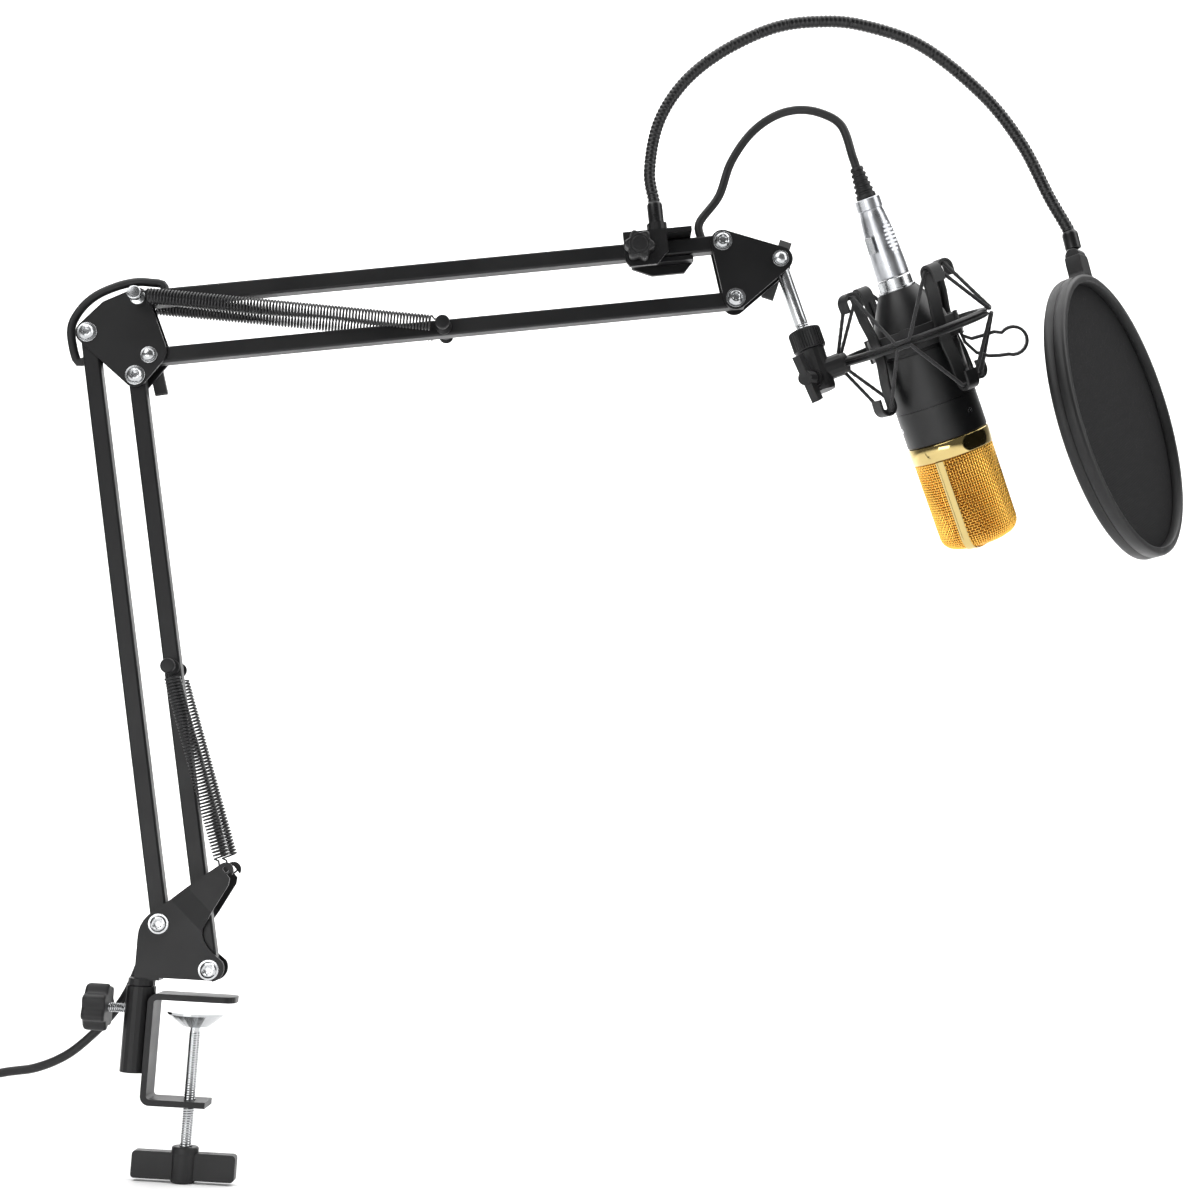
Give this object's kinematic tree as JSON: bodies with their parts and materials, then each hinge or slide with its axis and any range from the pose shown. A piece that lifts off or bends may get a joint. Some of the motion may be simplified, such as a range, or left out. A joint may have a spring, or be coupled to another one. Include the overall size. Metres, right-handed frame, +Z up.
{
  "type": "condenser microphone on a desk arm",
  "caption": "Side-address condenser microphone in an elastic shock mount, on a spring-balanced clamp-on desk arm with a gooseneck pop filter and signal lead.",
  "frame": {"origin": "underside of the clamp's upper jaw, over the clamp screw, where the jaw rests on a desk top", "axes": "+Z up, +X from the clamp towards the microphone, -Y the front"},
  "size_m": [0.746, 0.1444, 0.6481],
  "materials": {
    "arm_steel": "satin black powder coat on steel",
    "nickel": "bright nickel plate",
    "black_plastic": "moulded black plastic, lightly textured",
    "spring_steel": "black-oxide spring wire",
    "elastic": "black braided elastic cord",
    "mic_paint": "fine-textured satin black enamel",
    "gold": "polished pale gold plate",
    "gold_mesh": "gold-plated woven wire",
    "board": "green solder mask",
    "plug_silver": "satin nickel on zinc",
    "rubber": "satin black cable jacket",
    "gooseneck_steel": "black ribbed flexible tube",
    "pop_nylon": "black nylon mesh, two layers"
  },
  "bodies": {
    "clamp": {"clamp_frame": "arm_steel", "lead_tail": "rubber", "lead_coil": "rubber", "lead_plug": "plug_silver"},
    "lock": {"lock_knob": "black_plastic"},
    "pad": {"clamp_pad": "nickel"},
    "screw": {"clamp_screw": "nickel", "clamp_handle": "black_plastic"},
    "base": {"base_bracket": "arm_steel", "base_bolt_a": "nickel", "base_bolt_b": "nickel"},
    "lower_link_a": {"lower_tube_a": "arm_steel"},
    "lower_link_b": {"lower_tube_b": "arm_steel", "lower_spring_bolt": "nickel", "lower_spring_front": "spring_steel", "lower_spring_back": "spring_steel"},
    "elbow": {"elbow_plate_front": "arm_steel", "elbow_plate_back": "arm_steel", "elbow_bolt_a": "nickel", "elbow_bolt_b": "nickel", "elbow_spring_bolt": "nickel", "elbow_clamp_bolt": "nickel", "lead_elbow": "rubber"},
    "elbow_nut": {"elbow_wing_nut": "black_plastic"},
    "upper_link_c": {"upper_tube_c": "arm_steel", "lead_loop": "rubber"},
    "upper_link_d": {"upper_tube_d": "arm_steel", "upper_spring_bolt": "nickel", "upper_spring_front": "spring_steel", "upper_spring_back": "spring_steel"},
    "head": {"head_plate_front": "arm_steel", "head_plate_back": "arm_steel", "head_bolt_c": "nickel", "head_bolt_d": "nickel", "tilt_bolt": "nickel"},
    "tilt_nut": {"head_wing_nut": "black_plastic"},
    "adapter": {"stud": "nickel", "adapter_body": "black_plastic"},
    "collar": {"collar_nut": "black_plastic"},
    "wing": {"wing_screw": "black_plastic"},
    "ring": {"shock_ring": "black_plastic", "elastic_upper": "elastic", "elastic_lower": "elastic"},
    "cradle": {"mic_cradle": "black_plastic", "mic_body": "mic_paint", "connector_ring": "nickel", "trim_ring": "gold", "head_grille": "gold_mesh", "grille_strap": "gold", "capsule": "gold", "circuit_board": "board", "connector_insert": "black_plastic", "plug_shell": "plug_silver", "plug_boot": "rubber"},
    "latch": {"plug_latch": "nickel"},
    "pop_carriage": {"pop_clamp": "arm_steel"},
    "pop_screw": {"pop_knob": "black_plastic"},
    "pop_neck": {"gooseneck": "gooseneck_steel"},
    "pop_frame": {"pop_hoop": "black_plastic", "pop_screen": "pop_nylon"}
  },
  "joints": [
    {"name": "lock_turn", "type": "hinge", "parent": "clamp", "child": "lock", "pos_m": [-0.05, 0, -0.006], "axis": [1, 0, 0], "continuous": true},
    {"name": "clamp_travel", "type": "slide", "parent": "clamp", "child": "pad", "axis": [0, 0, 1], "range_m": [-0.036, 0.0055]},
    {"name": "screw_turn", "type": "hinge", "parent": "pad", "child": "screw", "pos_m": [0, 0, -0.05], "axis": [0, 0, 1], "range_deg": [-8645, 1325]},
    {"name": "base_swivel", "type": "hinge", "parent": "clamp", "child": "base", "pos_m": [-0.03, 0, 0], "axis": [0, 0, 1], "range_deg": [-120, 120], "deforming": ["lead_tail"]},
    {"name": "lower_tilt", "type": "hinge", "parent": "base", "child": "lower_link_a", "pos_m": [-0.0225, 0, 0.039], "axis": [0, -1, 0], "range_deg": [-60, 20], "deforming": ["lower_spring_front", "lower_spring_back", "lead_tail", "lead_elbow"]},
    {"name": "lower_tilt_b", "type": "hinge", "parent": "base", "child": "lower_link_b", "pos_m": [0.0057, 0, 0.0166], "axis": [0, -1, 0], "range_deg": [-60, 20]},
    {"name": "elbow_level", "type": "hinge", "parent": "lower_link_a", "child": "elbow", "pos_m": [-0.08855, 0, 0.35517], "axis": [0, -1, 0], "range_deg": [-20, 60]},
    {"name": "elbow_nut_turn", "type": "hinge", "parent": "elbow", "child": "elbow_nut", "pos_m": [-0.05385, 0, 0.34457], "axis": [0, 1, 0], "continuous": true},
    {"name": "upper_tilt", "type": "hinge", "parent": "elbow", "child": "upper_link_c", "pos_m": [-0.06275, 0, 0.37637], "axis": [0, -1, 0], "range_deg": [-25, 42], "deforming": ["upper_spring_front", "upper_spring_back", "lead_elbow", "lead_loop"]},
    {"name": "upper_tilt_d", "type": "hinge", "parent": "elbow", "child": "upper_link_d", "pos_m": [-0.05385, 0, 0.34457], "axis": [0, -1, 0], "range_deg": [-25, 42]},
    {"name": "head_level", "type": "hinge", "parent": "upper_link_c", "child": "head", "pos_m": [0.25609, 0, 0.42802], "axis": [0, -1, 0], "range_deg": [-42, 25]},
    {"name": "tilt_nut_turn", "type": "hinge", "parent": "head", "child": "tilt_nut", "pos_m": [0.28869, 0, 0.42002], "axis": [0, 1, 0], "continuous": true},
    {"name": "head_tilt", "type": "hinge", "parent": "head", "child": "adapter", "pos_m": [0.28869, 0, 0.42002], "axis": [0, -1, 0], "range_deg": [-45, 25], "deforming": ["lead_loop"]},
    {"name": "collar_turn", "type": "hinge", "parent": "adapter", "child": "collar", "pos_m": [0.30592, 0, 0.37629], "axis": [-0.3665, 0, 0.9304], "continuous": true},
    {"name": "wing_turn", "type": "hinge", "parent": "adapter", "child": "wing", "pos_m": [0.31435, 0, 0.35489], "axis": [-0.5067, -0.8387, -0.1996], "continuous": true},
    {"name": "mount_roll", "type": "hinge", "parent": "adapter", "child": "ring", "pos_m": [0.36495, 0, 0.38179], "axis": [0.9135, 0, 0.4067], "range_deg": [-30, 30], "deforming": ["lead_loop"]},
    {"name": "suspension", "type": "slide", "parent": "ring", "child": "cradle", "axis": [-0.3963, -0.225, 0.8901], "range_m": [-0.003, 0.003], "stiffness_N_per_m": 3000, "deforming": ["elastic_upper", "elastic_lower", "lead_loop"]},
    {"name": "latch_press", "type": "slide", "parent": "cradle", "child": "latch", "axis": [0.6959, 0.5589, 0.4511], "range_m": [0, 0.0009], "stiffness_N_per_m": 500},
    {"name": "pop_slide", "type": "slide", "parent": "upper_link_c", "child": "pop_carriage", "axis": [0.9871, 0, 0.1599], "range_m": [-0.02, 0.002]},
    {"name": "pop_knob_turn", "type": "hinge", "parent": "pop_carriage", "child": "pop_screw", "pos_m": [0.2101, 0, 0.41803], "axis": [0, 1, 0], "continuous": true},
    {"name": "pop_swing", "type": "hinge", "parent": "pop_carriage", "child": "pop_neck", "pos_m": [0.21905, -0.009, 0.43468], "axis": [-0.1599, 0, 0.9871], "range_deg": [-25, 25]},
    {"name": "pop_tilt", "type": "hinge", "parent": "pop_neck", "child": "pop_frame", "pos_m": [0.4453, -0.032, 0.42268], "axis": [0.5607, 0.8131, 0.1565], "range_deg": [-35, 12]}
  ],
  "couplings": [
    {"joint": "screw_turn", "follows": "clamp_travel", "rad_per_m": 4188.8},
    {"joint": "lower_tilt_b", "follows": "lower_tilt", "ratio": 1},
    {"joint": "elbow_level", "follows": "lower_tilt", "ratio": -1},
    {"joint": "upper_tilt_d", "follows": "upper_tilt", "ratio": 1},
    {"joint": "head_level", "follows": "upper_tilt", "ratio": -1}
  ]
}
